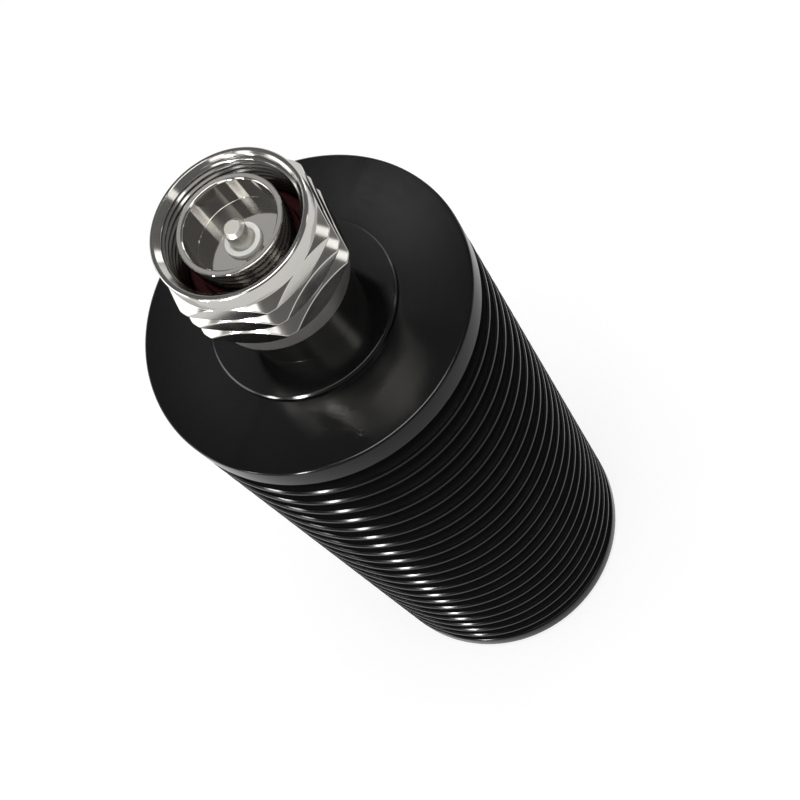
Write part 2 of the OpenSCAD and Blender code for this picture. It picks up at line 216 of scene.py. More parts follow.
class Finishes(PropertyGroup):
    """Colours of the finishes, and the grey that is painted between the fins as painted light."""
    black: colour("Black", (0.0032, 0.0032, 0.0034), "Glossy black anodised metal")
    # Painted light: a lighter grey for the gaps between the fins, which lifts the shade that falls there
    painted_gap_light: colour("Painted gap light", (0.022, 0.022, 0.023), "Duller black between the fins")
    nickel: colour("Nickel", (0.53, 0.515, 0.485), "Bright plated metal")
    silver: colour("Silver", (0.63, 0.62, 0.575), "Satin plated metal of the pin")
    white: colour("White", (0.84, 0.84, 0.81), "White PTFE")
    red: colour("Red", (0.030, 0.0020, 0.0026), "Dark red rubber")
    rubber: colour("Rubber", (0.012, 0.012, 0.012), "Black rubber")
    steel: colour("Steel", (0.46, 0.46, 0.47), "Plain steel")
    dark_steel: colour("Dark steel", (0.055, 0.055, 0.06), "Blackened steel")
    brass: colour("Brass", (0.62, 0.44, 0.17), "Turned brass")
    copper: colour("Copper", (0.66, 0.42, 0.30), "Plated copper")
    aluminium: colour("Aluminium", (0.62, 0.63, 0.64), "Milled aluminium")
    ceramic: colour("Ceramic", (0.80, 0.79, 0.75), "White ceramic")
    film: colour("Film", (0.03, 0.025, 0.022), "Dark resistor film")


class StageSettings(PropertyGroup):
    """Camera, floor and light."""
    azimuth: angle("Azimuth", 104.0, "Direction of the camera round the part; 0 looks along +Y")
    elevation: angle("Elevation", 60.71, "Height of the camera above the horizon")
    roll: angle("Roll", 40.72, "Turn of the camera about its line of sight")
    aim: FloatVectorProperty(
        name="Aim", description="Point that the camera looks at", size=3, subtype="TRANSLATION",
        default=(-0.45 * MM, 1.81 * MM, 67.11 * MM))
    distance: length("Distance", 232.57, "Distance from the aim to the camera")
    lens: FloatProperty(
        name="Lens", description="Focal length on a 36 mm wide sensor", default=63.39, unit="CAMERA")
    floor_size: length("Floor", 8000.0, "Width of the floor")
    wall_height: length("Wall", 900.0, "Height of the wall round the floor")
    lamp_distance: length("Lamp distance", 900.0, "Distance from the plug's foot to each lamp")
    zenith: FloatProperty(
        name="Zenith", description="Brightness of the room overhead", default=0.17, min=0)
    horizon: FloatProperty(
        name="Horizon", description="Brightness of the room at the horizon", default=0.45, min=0)


class DummyLoadSettings(PropertyGroup):
    """All sizes, colours and stage settings."""
    heat_sink: PointerProperty(type=HeatSinkSizes)
    plug: PointerProperty(type=PlugSizes)
    nut: PointerProperty(type=NutSizes)
    finishes: PointerProperty(type=Finishes)
    stage: PointerProperty(type=StageSettings)


# Surfaces

def even_angles(columns):
    """Angles at even steps round the axis."""
    return np.arange(columns) * (2 * np.pi / columns)


def round_corners(outline, rounding, steps=ARC_STEPS):
    """Rounds each corner of a closed outline of [radius, height] points.

    The arc is B(t) = (1-t)^2 S + 2t(1-t) C + t^2 E, where C is the corner and S and E lie on its two sides,
    at the rounding's length from it, or less on a short side.
    """
    corner = np.asarray(outline, float)
    before = np.roll(corner, 1, axis=0) - corner
    after = np.roll(corner, -1, axis=0) - corner
    before_len = np.linalg.norm(before, axis=1)
    after_len = np.linalg.norm(after, axis=1)
    most = SIDE_SHARE * np.minimum(before_len, after_len)
    cut = np.minimum(np.broadcast_to(rounding, before_len.shape), most)
    start = corner + before * (cut / before_len)[:, None]
    end = corner + after * (cut / after_len)[:, None]
    t = np.linspace(0, 1, steps)[None, :, None]
    arc = (1 - t) ** 2 * start[:, None] + 2 * t * (1 - t) * corner[:, None] + t ** 2 * end[:, None]
    return arc.reshape(-1, 2)


def turned_grid(outline, columns):
    """Carries an outline round Z: P(i, j) = (r_i cos a_j, r_i sin a_j, z_i)."""
    a = even_angles(columns)
    r, z = outline[:, :1], outline[:, 1:]
    return np.stack([r * np.cos(a), r * np.sin(a), np.broadcast_to(z, (len(outline), columns))], axis=-1)


def grid_mesh(name, grid):
    """Makes a closed mesh of a grid that joins up with itself both along its rows and along its columns.

    Each face runs from (i, j) to (i, j+1), (i+1, j+1) and (i+1, j), so that an outline that goes round its
    solid anticlockwise gives normals that point outwards. Points that fall together become one. A corner's
    normal is the mean of its faces' normals by area, so that wide faces stay flat and narrow edges take the
    turn.
    """
    rows, columns = grid.shape[:2]
    index = np.arange(rows * columns).reshape(rows, columns)
    right = np.roll(index, -1, axis=1)
    above = np.roll(index, -1, axis=0)
    above_right = np.roll(right, -1, axis=0)
    faces = np.stack([index, right, above_right, above], axis=-1).reshape(-1, 4)
    mesh = bpy.data.meshes.new(name)
    mesh.from_pydata(grid.reshape(-1, 3).tolist(), [], faces.tolist())
    welded = bmesh.new()
    welded.from_mesh(mesh)
    bmesh.ops.remove_doubles(welded, verts=welded.verts, dist=WELD)
    bmesh.ops.dissolve_degenerate(welded, edges=welded.edges, dist=WELD)
    welded.to_mesh(mesh)
    welded.free()
    mesh.polygons.foreach_set("use_smooth", np.ones(len(mesh.polygons), bool))
    set_area_normals(mesh)
    return mesh


def set_area_normals(mesh):
    """Gives each vertex the mean of its faces' normals, weighted by the faces' areas."""
    count = len(mesh.polygons)
    normal = np.empty(count * 3, np.float32)
    area = np.empty(count, np.float32)
    total = np.empty(count, np.int32)
    corner = np.empty(len(mesh.loops), np.int32)
    mesh.polygons.foreach_get("normal", normal)
    mesh.polygons.foreach_get("area", area)
    mesh.polygons.foreach_get("loop_total", total)
    mesh.loops.foreach_get("vertex_index", corner)
    weighted = np.repeat(normal.reshape(-1, 3) * area[:, None], total, axis=0)
    mean = np.stack([np.bincount(corner, weighted[:, k], len(mesh.vertices)) for k in range(3)], axis=1)
    mean /= np.maximum(np.linalg.norm(mean, axis=1, keepdims=True), TINY)
    mesh.normals_split_custom_set_from_vertices(mean.tolist())


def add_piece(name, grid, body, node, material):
    """Adds a surface as a piece that rides on a body and stands for a node."""
    piece = bpy.data.objects.new(name, grid_mesh(name, grid))
    bpy.context.scene.collection.objects.link(piece)
    piece.data.materials.append(material)
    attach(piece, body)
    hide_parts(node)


def dress(node, material):
    """Gives a node of the frame its finish."""
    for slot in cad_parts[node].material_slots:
        slot.material = material


# Shader node groups

def new_group(name, inputs, outputs):
    """An empty shader node group; inputs are (name, type, default) and outputs are (name, type)."""
    group = bpy.data.node_groups.new(name, "ShaderNodeTree")
    for label, kind, default in inputs:
        socket = group.interface.new_socket(label, in_out="INPUT", socket_type=kind)
        if default is not None:
            socket.default_value = default
    for label, kind in outputs:
        group.interface.new_socket(label, in_out="OUTPUT", socket_type=kind)
    return group, group.nodes.new("NodeGroupInput"), group.nodes.new("NodeGroupOutput")


def math_node(tree, operation, first, second=None):
    """A Math node; each value is a socket to link or a number to set. Returns its output."""
    node = tree.nodes.new("ShaderNodeMath")
    node.operation = operation
    for socket, value in zip(node.inputs, (first, second)):
        if isinstance(value, bpy.types.NodeSocket):
            tree.links.new(value, socket)
        elif value is not None:
            socket.default_value = value
    return node.outputs[0]


def mixed_colour(tree, factor, first, second):
    """A colour from the first to the second by a factor; each is a socket to link or a colour to set."""
    node = tree.nodes.new("ShaderNodeMix")
    node.data_type = "RGBA"
    tree.links.new(factor, node.inputs["Factor"])
    for label, value in (("A", first), ("B", second)):
        if isinstance(value, bpy.types.NodeSocket):
            tree.links.new(value, node.inputs[label])
        else:
            node.inputs[label].default_value = (*value, 1)
    return node.outputs["Result"]


def turned_place(tree, vector):
    """Radius, sqrt(x^2 + y^2), and height of a point on a turned piece."""
    split = tree.nodes.new("ShaderNodeSeparateXYZ")
    tree.links.new(vector, split.inputs[0])
    across = math_node(tree, "MULTIPLY", split.outputs["X"], split.outputs["X"])
    along = math_node(tree, "MULTIPLY", split.outputs["Y"], split.outputs["Y"])
    return math_node(tree, "SQRT", math_node(tree, "ADD", across, along)), split.outputs["Z"]


def ring_noise(tree, run, spacing):
    """Noise along a length, for rings at the given spacing."""
    noise = tree.nodes.new("ShaderNodeTexNoise")
    noise.noise_dimensions = "1D"
    noise.inputs["Scale"].default_value = 1.0
    noise.inputs["Detail"].default_value = 1.0
    tree.links.new(math_node(tree, "DIVIDE", run, spacing), noise.inputs["W"])
    return noise.outputs["Fac"]


def turned_place_group():
    """Radius and height of a point on a turned piece."""
    group, start, end = new_group(
        "Turned place", [("Vector", "NodeSocketVector", None)],
        [("Radius", "NodeSocketFloat"), ("Height", "NodeSocketFloat")])
    radius, height = turned_place(group, start.outputs["Vector"])
    group.links.new(radius, end.inputs["Radius"])
    group.links.new(height, end.inputs["Height"])
    return group


def turning_marks_group():
    """Fine rings left by a lathe: noise over the radius plus the height, so that walls show them too."""
    group, start, end = new_group(
        "Turning marks",
        [("Vector", "NodeSocketVector", None), ("Spacing", "NodeSocketFloat", 0.15 * MM)],
        [("Height", "NodeSocketFloat")])
    place = group_node(group, "Turned place", start.outputs["Vector"])
    run = math_node(group, "ADD", place.outputs["Radius"], place.outputs["Height"])
    group.links.new(ring_noise(group, run, start.outputs["Spacing"]), end.inputs["Height"])
    return group


def mottle_group():
    """A value that wanders between two limits over the surface, at a given size."""
    group, start, end = new_group(
        "Mottle",
        [("Vector", "NodeSocketVector", None), ("Size", "NodeSocketFloat", 4 * MM),
         ("Low", "NodeSocketFloat", 0.1), ("High", "NodeSocketFloat", 0.2)],
        [("Value", "NodeSocketFloat"), ("Mask", "NodeSocketFloat")])
    noise = group.nodes.new("ShaderNodeTexNoise")
    noise.inputs["Detail"].default_value = 4.0
    group.links.new(start.outputs["Vector"], noise.inputs["Vector"])
    group.links.new(math_node(group, "DIVIDE", 1.0, start.outputs["Size"]), noise.inputs["Scale"])
    spread = group.nodes.new("ShaderNodeMapRange")
    spread.inputs["From Min"].default_value = NOISE_LOW
    spread.inputs["From Max"].default_value = NOISE_HIGH
    group.links.new(noise.outputs["Fac"], spread.inputs["Value"])
    group.links.new(start.outputs["Low"], spread.inputs["To Min"])
    group.links.new(start.outputs["High"], spread.inputs["To Max"])
    group.links.new(spread.outputs["Result"], end.inputs["Value"])
    group.links.new(noise.outputs["Fac"], end.inputs["Mask"])
    return group


GROUP_MAKERS = {
    "Turned place": turned_place_group,
    "Turning marks": turning_marks_group,
    "Mottle": mottle_group,
}


def group_node(tree, name, vector, **values):
    """Places a shared node group, made at its first use, with the given input values."""
    node = tree.nodes.new("ShaderNodeGroup")
    node.node_tree = bpy.data.node_groups.get(name) or GROUP_MAKERS[name]()
    tree.links.new(vector, node.inputs["Vector"])
    for label, value in values.items():
        node.inputs[label].default_value = value
    return node


# Materials

def finish(name, base, metallic, roughness, shade=0.12, mottle=4.0, marks=0.0, spacing=0.15, grain=0.0,
           grain_size=0.2):
    """A finish on Object coordinates.

    The base colour wanders by the given shade, and the roughness between two limits, over a mottle; marks is
    the strength of lathe rings and grain that of a fine even grain. The size of the mottle, the spacing of
    the rings and the size of the grain are in millimetres.
    """
    made = bpy.data.materials.get(name)
    if made:
        return made
    material = bpy.data.materials.new(name)
    material.use_nodes = True
    tree = material.node_tree
    shader = tree.nodes["Principled BSDF"]
    shader.inputs["Metallic"].default_value = metallic
    place = tree.nodes.new("ShaderNodeTexCoord").outputs["Object"]
    wander = group_node(tree, "Mottle", place, Size=mottle * MM, Low=roughness[0], High=roughness[1])
    tree.links.new(wander.outputs["Value"], shader.inputs["Roughness"])
    darker = [c * (1 - shade) for c in base]
    lighter = [min(1, c * (1 + shade)) for c in base]
    tint = mixed_colour(tree, wander.outputs["Mask"], darker, lighter)
    tree.links.new(tint, shader.inputs["Base Color"])
    normal = None
    if marks:
        rings = group_node(tree, "Turning marks", place, Spacing=spacing * MM)
        normal = bump(tree, rings.outputs["Height"], marks, RELIEF, normal)
    if grain:
        grit = group_node(tree, "Mottle", place, Size=grain_size * MM, Low=0.0, High=1.0)
        normal = bump(tree, grit.outputs["Value"], grain, RELIEF, normal)
    if normal:
        tree.links.new(normal, shader.inputs["Normal"])
    return material


def bump(tree, height, strength, depth, under=None):
    """A Bump node over an optional normal."""
    node = tree.nodes.new("ShaderNodeBump")
    node.inputs["Strength"].default_value = strength
    node.inputs["Distance"].default_value = depth
    tree.links.new(height, node.inputs["Height"])
    if under:
        tree.links.new(under, node.inputs["Normal"])
    return node.outputs["Normal"]


def smooth_step(tree, value, start, stop, low, high):
    """A value that goes smoothly from low to high while another goes from start to stop."""
    step = tree.nodes.new("ShaderNodeMapRange")
    step.interpolation_type = "SMOOTHSTEP"
    step.inputs["From Min"].default_value = start
    step.inputs["From Max"].default_value = stop
    step.inputs["To Min"].default_value = low
    step.inputs["To Max"].default_value = high
    tree.links.new(value, step.inputs["Value"])
    return step.outputs["Result"]


def place_mask(tree, measure, start, stop, low, high):
    """A value that goes smoothly from low to high between two radii or heights of a turned piece."""
    place = group_node(tree, "Turned place", tree.nodes["Texture Coordinate"].outputs["Object"])
    return smooth_step(tree, place.outputs[measure], start, stop, low, high)


def soften(material, measure, limit, below, above=0.0):
    """Raises a finish's roughness to at least the given values below and above a radius or a height."""
    tree = material.node_tree
    shader = tree.nodes["Principled BSDF"]
    polish = shader.inputs["Roughness"].links[0].from_socket
    dull = place_mask(tree, measure, limit - SOFT_STEP, limit, below, above)
    tree.links.new(math_node(tree, "MAXIMUM", polish, dull), shader.inputs["Roughness"])


def paint_over(tree, mask, tone):
    """Changes a finish's base colour to another where a mask is one."""
    base = tree.nodes["Principled BSDF"].inputs["Base Color"]
    tree.links.new(mixed_colour(tree, mask, base.links[0].from_socket, tone), base)


def face_rings(tree):
    """Normal of fine lathe rings on the front faces: noise over the radius that ends just below the face."""
    radius, height = turned_place(tree, tree.nodes["Texture Coordinate"].outputs["Object"])
    rings = ring_noise(tree, radius, FACE_RING_SPACING)
    face = smooth_step(tree, height, FACE_START_Z, FACE_FULL_Z, 0.0, 1.0)
    return bump(tree, math_node(tree, "MULTIPLY", rings, face), FACE_RING_STRENGTH, FACE_RING_DEPTH)


def black_anodised(colours, flange_z):
    """Black of the heat sink and the pad: glossy front faces with fine lathe rings, duller walls and fins.

    The coat is full on the front faces, less on the fins, and least on the wall of the front flange. Between
    the fins the black goes over into a lighter grey: painted light that lifts the shade in the gaps.
    """
    material = finish("black anodised finish", colours.black, 0.0, (0.14, 0.20), shade=0.25, mottle=6.0)
    tree = material.node_tree
    shader = tree.nodes["Principled BSDF"]
    shader.inputs["Specular IOR Level"].default_value = 0.03
    shader.inputs["Coat Roughness"].default_value = 0.12
    shader.inputs["Coat IOR"].default_value = 1.45
    relief = face_rings(tree)
    tree.links.new(relief, shader.inputs["Normal"])
    tree.links.new(relief, shader.inputs["Coat Normal"])
    face = place_mask(tree, "Height", FACE_START_Z, FACE_FULL_Z, 0.0, 1.0)
    inner = place_mask(tree, "Radius", BODY_R - SOFT_STEP, BODY_R - SOFT_STEP / 4, 1.0, 0.0)
    gloss = place_mask(tree, "Height", FACE_START_Z, FACE_FULL_Z, FIN_GLOSS, 1.0)
    wall = place_mask(tree, "Height", flange_z - SOFT_STEP, flange_z, 0.0, WALL_GLOSS)
    outer = math_node(tree, "MULTIPLY", wall, math_node(tree, "SUBTRACT", 1.0, inner))
    coat = math_node(tree, "ADD", math_node(tree, "MULTIPLY", inner, gloss), outer)
    tree.links.new(coat, shader.inputs["Coat Weight"])
    # Painted light: the gaps between the fins, which lie in shade, are painted a lighter grey
    deep = place_mask(tree, "Radius", BODY_R - PAINTED_LIGHT_FULL, BODY_R - PAINTED_LIGHT_START, 1.0, 0.0)
    fins = math_node(tree, "MULTIPLY", deep, math_node(tree, "SUBTRACT", 1.0, face))
    paint_over(tree, fins, colours.painted_gap_light)
    return material


def bright_plated(colours):
    """Polished plating of the connector's body, a little duller on the neck below the nut."""
    material = finish("bright plated finish", colours.nickel, 1.0, (0.05, 0.08), shade=0.03, marks=0.04,
                      spacing=0.10)
    soften(material, "Height", NUT_Z, below=0.12)
    return material


def satin_plated(colours, nut, skirt_z):
    """Fine turned plating of the coupling nut, duller on its skirt, with shade painted dark into the
    thread's roots.
    """
    material = finish("satin plated finish", colours.nickel, 1.0, (0.10, 0.16), shade=0.05, marks=0.05,
                      spacing=0.08)
    soften(material, "Height", skirt_z, below=0.35)
    tree = material.node_tree
    # Painted shade: the base colour is darkened in the thread's roots, where shade falls
    crest, root = nut.thread_radius, nut.thread_radius + nut.thread_depth
    deep = place_mask(tree, "Radius", crest + nut.thread_depth / 3, root - SOFT_STEP, 0.0, 1.0)
    within = place_mask(tree, "Radius", root + SOFT_STEP, root + 2 * SOFT_STEP, 1.0, 0.0)
    below = place_mask(tree, "Height", NUT_FRONT_Z - nut.lead_in, NUT_FRONT_Z - nut.lead_in / 2, 1.0, 0.0)
    roots = math_node(tree, "MULTIPLY", math_node(tree, "MULTIPLY", deep, within), below)
    paint_over(tree, roots, [PAINTED_ROOT_SHADE * c for c in colours.nickel])
    return material


def silver_plated(colours):
    """Satin plating of the pin and the lead strip, matt on the pin's tip."""
    material = finish("silver plated finish", colours.silver, 1.0, (0.38, 0.46), shade=0.05, marks=0.10,
                      spacing=0.06)
    soften(material, "Height", PIN_Z - SOFT_STEP, below=0.0, above=0.75)
    return material


def white_ptfe(colours):
    """Waxy white of the insulators."""
    return finish("white ptfe finish", colours.white, 0.0, (0.38, 0.48), shade=0.04, mottle=1.5, grain=0.15,
                  grain_size=0.15)


def red_rubber(colours):
    """Dark red of the gasket."""
    material = finish("red rubber finish", colours.red, 0.0, (0.45, 0.58), shade=0.20, mottle=1.0, grain=0.4,
                      grain_size=0.12)
    material.node_tree.nodes["Principled BSDF"].inputs["Specular IOR Level"].default_value = 0.2
    return material


# Operators

class DUMMYLOAD_OT_heat_sink(Operator):
    """Builds the finned body and the plug in its front end"""
    bl_idname = "dummy_load.heat_sink"
    bl_label = "Heat sink"

    def execute(self, context):
        settings = context.scene.dummy_load
        sizes = settings.heat_sink
        black = black_anodised(settings.finishes, FACE_Z - sizes.front_flange)
        body = turned_grid(self.body_outline(sizes), BODY_COLUMNS)
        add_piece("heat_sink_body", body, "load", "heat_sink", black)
        pad = turned_grid(self.plug_outline(sizes, settings.plug), PAD_COLUMNS)
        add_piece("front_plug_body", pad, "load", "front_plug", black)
        return {"FINISHED"}

    @staticmethod
    def body_outline(sizes):
        """Rear flange, fins and front flange along the core, then back down the blind bore to the axis.

        A fin is five corners, [core, z], [rim, z], [rim, z + t - c], [rim - c, z + t], [core, z + t],
        repeated at the fins' pitch.
        """
        pitch = sizes.fin_thickness + sizes.fin_gap
        z0 = sizes.rear_flange + sizes.fin_gap + pitch * np.arange(sizes.fin_count)
        z1 = z0 + sizes.fin_thickness
        core = np.full(sizes.fin_count, sizes.core_radius)
        rim = np.full(sizes.fin_count, BODY_R)
        chamfer = sizes.fin_chamfer
        corners = [core, z0, rim, z0, rim, z1 - chamfer, rim - chamfer, z1, core, z1]
        fins = np.stack(corners, axis=1).reshape(-1, 2)
        fin_rounding = np.tile([sizes.fin_root, sizes.fin_edge, sizes.chamfer_edge, sizes.chamfer_edge,
                                sizes.fin_root], sizes.fin_count)
        flange_z = FACE_Z - sizes.front_flange
        rear = [[0, 0], [BODY_R, 0], [BODY_R, sizes.rear_flange], [sizes.core_radius, sizes.rear_flange]]
        rear_rounding = [0, sizes.rear_edge, sizes.flange_edge, sizes.fin_root]
        front = [[sizes.core_radius, flange_z], [BODY_R, flange_z], [BODY_R, FACE_Z],
                 [sizes.bore_radius, FACE_Z], [sizes.bore_radius, sizes.bore_floor], [0, sizes.bore_floor]]
        front_rounding = [sizes.fin_root, sizes.flange_edge, sizes.flange_edge, sizes.fin_edge,
                          sizes.fin_edge, 0]
        rounding = np.concatenate([rear_rounding, fin_rounding, front_rounding])
        return round_corners(np.concatenate([rear, fins, front]), rounding, steps=3)

    @staticmethod
    def plug_outline(sizes, plug):
        """Spigot with its seal groove, and the raised pad with its chamfer, round the shank's hole."""
        hole = plug.shank_radius + plug.fit
        spigot = sizes.bore_radius - sizes.plug_fit
        groove = spigot - sizes.seal_groove
        low, high = SEAL_Z - sizes.seal_groove / 2, SEAL_Z + sizes.seal_groove / 2
        outline = [[hole, SPIGOT_Z], [spigot, SPIGOT_Z], [spigot, low], [groove, low], [groove, high],
                   [spigot, high], [spigot, FACE_Z], [PAD_R, FACE_Z], [PAD_R, PAD_Z - sizes.pad_edge],
                   [PAD_R - sizes.pad_edge, PAD_Z], [hole, PAD_Z]]
        return round_corners(outline, plug.edge)


class DUMMYLOAD_OT_connector_body(Operator):
    """Builds the connector's body with its neck, collar, sleeve and polished cup"""
    bl_idname = "dummy_load.connector_body"
    bl_label = "Connector body"

    def execute(self, context):
        settings = context.scene.dummy_load
        grid = turned_grid(self.outline(settings.plug), CONNECTOR_COLUMNS)
        bright = bright_plated(settings.finishes)
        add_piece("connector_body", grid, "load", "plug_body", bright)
        return {"FINISHED"}

    @staticmethod
    def outline(plug):
        """Shank, neck with the snap ring's seat, collar, sleeve, cup, and the insulator's stepped hole."""
        seat = plug.neck_radius - plug.snap_seat
        collar_z = GASKET_Z - plug.collar_thickness
        outer = plug.sleeve_radius + plug.sleeve_wall
        floor_z = SLEEVE_Z - plug.floor_depth
        step_z = floor_z - plug.floor_thickness
        front_hole = plug.bead_radius + plug.fit
        rear_hole = BEAD_REAR_R + plug.fit
        half = plug.mouth_chamfer / 2
        outline = [[rear_hole, SHANK_Z], [plug.shank_radius, SHANK_Z], [plug.shank_radius, PAD_Z],
                   [plug.neck_radius, PAD_Z], [plug.neck_radius, SNAP_Z], [seat, SNAP_Z], [seat, SNAP_TOP_Z],
                   [plug.neck_radius, SNAP_TOP_Z], [plug.neck_radius, collar_z], [COLLAR_R, collar_z],
                   [COLLAR_R, GASKET_Z], [outer, GASKET_Z], [outer, SLEEVE_Z - half],
                   [outer - half, SLEEVE_Z], [plug.sleeve_radius + plug.mouth_chamfer, SLEEVE_Z],
                   [plug.sleeve_radius, SLEEVE_Z - plug.mouth_chamfer], [plug.sleeve_radius, floor_z],
                   [front_hole, floor_z], [front_hole, step_z], [rear_hole, step_z]]
        return round_corners(outline, plug.edge)


class DUMMYLOAD_OT_coupling_nut(Operator):
    """Builds the coupling nut with its hexagon, V grooves, cones and thread"""
    bl_idname = "dummy_load.coupling_nut"
    bl_label = "Coupling nut"

    def execute(self, context):
        settings = context.scene.dummy_load
        nut = settings.nut
        a = even_angles(NUT_COLUMNS)
        outside_r, outside_z = self.outside(nut, a)
        inside_r, inside_z = self.inside(nut, settings.plug, a)
        r = np.concatenate([outside_r, inside_r])
        z = np.concatenate([outside_z, inside_z])
        grid = np.stack([r * np.cos(a), r * np.sin(a), z], axis=-1)
        skirt_z = self.outline(nut)[1, 1]
        satin = satin_plated(settings.finishes, nut, skirt_z)
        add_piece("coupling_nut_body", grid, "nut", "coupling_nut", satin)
        return {"FINISHED"}

    @staticmethod
    def outline(nut):
        """Turned outline of the outside, from the rear edge: skirt, cone, two V grooves, cone and lip."""
        corner, groove = NUT_CORNER_R, NUT_APOTHEM - nut.groove_cut
        half = corner - groove
        front_groove = NUT_FRONT_Z - nut.groove_setback
        rear_groove = front_groove - 2 * half - nut.land
        rear_land = rear_groove - half - nut.land
        front_land = front_groove + half + nut.land
        return np.array([
            [NUT_APOTHEM - nut.rim_step, NUT_Z], [groove, rear_land - nut.rear_cone],
            [corner, rear_land], [corner, rear_groove - half],
            [groove, rear_groove], [corner, rear_groove + half], [corner, front_groove - half],
            [groove, front_groove], [corner, front_groove + half], [corner, front_land],
            [NUT_APOTHEM, front_land + half - nut.groove_cut],
            [NUT_APOTHEM, NUT_FRONT_Z - nut.lip_chamfer], [NUT_APOTHEM - nut.lip_chamfer, NUT_FRONT_Z]])

    def outside(self, nut, a):
        """Rows of radius and height over the angles a, from the rear edge to the front edge.

        The radius is the lesser of the hexagon, apothem / cos(a), and the turned outline at that height,
        blended over the edge rounding. On each stretch of the outline rows gather where the two cross, so
        that edges stay crisp; the rest are shares of the stretch.
        """
        outline = self.outline(nut)
        sixth = np.pi / 3
        hexagon = NUT_APOTHEM / np.cos(np.mod(a, sixth) - sixth / 2)
        r0, r1 = outline[:-1, 0, None], outline[1:, 0, None]
        z0, z1 = outline[:-1, 1, None, None], outline[1:, 1, None, None]
        rise = np.where(np.abs(r1 - r0) > WELD, r1 - r0, 1.0)
        cross = np.clip((hexagon - r0) / rise, 0, 1)
        row_gap = 1.5 * nut.edge
        step = row_gap / (z1 - z0)[..., 0]
        gathered = np.array([-2.0, -1.0, 0.0, 1.0, 2.0])
        near = cross[:, None, :] + gathered[None, :, None] * step[:, :, None]
        shares = np.array([0.0, 0.06, 0.94])
        ends = np.broadcast_to(shares[None, :, None], (len(cross), len(shares), len(a)))
        t = np.sort(np.clip(np.concatenate([near, ends], axis=1), 0, 1), axis=1)
        z = (z0 + (z1 - z0) * t).reshape(-1, len(a))
        smooth = round_corners(outline, nut.edge)
        turned = np.interp(z, smooth[:, 1], smooth[:, 0])
        gap = np.abs(hexagon - turned)
        r = np.minimum(hexagon, turned) - np.maximum(nut.edge - gap, 0) ** 2 / (4 * nut.edge)
        return r, z

    @staticmethod
    def inside(nut, plug, a):
        """Rows of radius and height over the angles a, from the front edge through the thread to the rear.

        The thread is r = minor + depth w, where w is a clipped triangle wave of z / pitch - a / 2 pi.
        The lead-in cone takes over where it is wider.
        """
        shoulder_z = NUT_Z + nut.shoulder
        mouth = nut.thread_radius + nut.lead_in
        bearing = plug.neck_radius + nut.bearing_fit
        groove = SNAP_R + nut.snap_play
        rows = int(round((NUT_FRONT_Z - shoulder_z) / nut.thread_pitch * THREAD_ROWS))
        z = np.linspace(NUT_FRONT_Z, shoulder_z, rows)[:, None]
        phase = np.mod(z / nut.thread_pitch - a / (2 * np.pi), 1)
        steepness, flat = 1.3, 0.15
        wave = np.clip(steepness * np.abs(2 * phase - 1) - flat, 0, 1)
        cone = mouth - (NUT_FRONT_Z - z)
        thread_r = np.maximum(nut.thread_radius + nut.thread_depth * wave, cone)
        front = np.array([[mouth + nut.edge, NUT_FRONT_Z]])
        low, high = SNAP_Z - nut.snap_play, SNAP_TOP_Z + nut.snap_play
        outline = [[bearing, shoulder_z], [bearing, high], [groove, high], [groove, low], [bearing, low],
                   [bearing, NUT_Z], [NUT_APOTHEM - nut.rim_step, NUT_Z]]
        # The last corner belongs to the outside
        rear = round_corners(outline, nut.edge)[:-ARC_STEPS]
        full = np.ones_like(a)
        r = np.concatenate([front[:, :1] * full, thread_r, rear[:, :1] * full])
        height = np.concatenate([front[:, 1:] * full, z * full, rear[:, 1:] * full])
        return r, height


class DUMMYLOAD_OT_rings(Operator):
    """Builds the gasket and the front insulator"""
    bl_idname = "dummy_load.rings"
    bl_label = "Gasket and insulator"

    def execute(self, context):
        settings = context.scene.dummy_load
        plug = settings.plug
        inner = plug.sleeve_radius + plug.sleeve_wall + plug.fit
        gasket_edge, bead_edge = 6 * plug.edge, 2 * plug.edge
        gasket = [[inner, GASKET_Z], [GASKET_R, GASKET_Z], [GASKET_R, GASKET_TOP_Z], [inner, GASKET_TOP_Z]]
        grid = turned_grid(round_corners(gasket, gasket_edge), GASKET_COLUMNS)
        red = red_rubber(settings.finishes)
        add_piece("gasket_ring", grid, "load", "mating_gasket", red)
        step_z = SLEEVE_Z - plug.floor_depth - plug.floor_thickness
        bead = [[plug.pin_hole, BEAD_REAR_Z], [BEAD_REAR_R, BEAD_REAR_Z], [BEAD_REAR_R, step_z],
                [plug.bead_radius, step_z], [plug.bead_radius, BEAD_TOP_Z], [plug.pin_hole, BEAD_TOP_Z]]
        grid = turned_grid(round_corners(bead, bead_edge), BEAD_COLUMNS)
        white = white_ptfe(settings.finishes)
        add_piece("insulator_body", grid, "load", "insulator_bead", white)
        return {"FINISHED"}


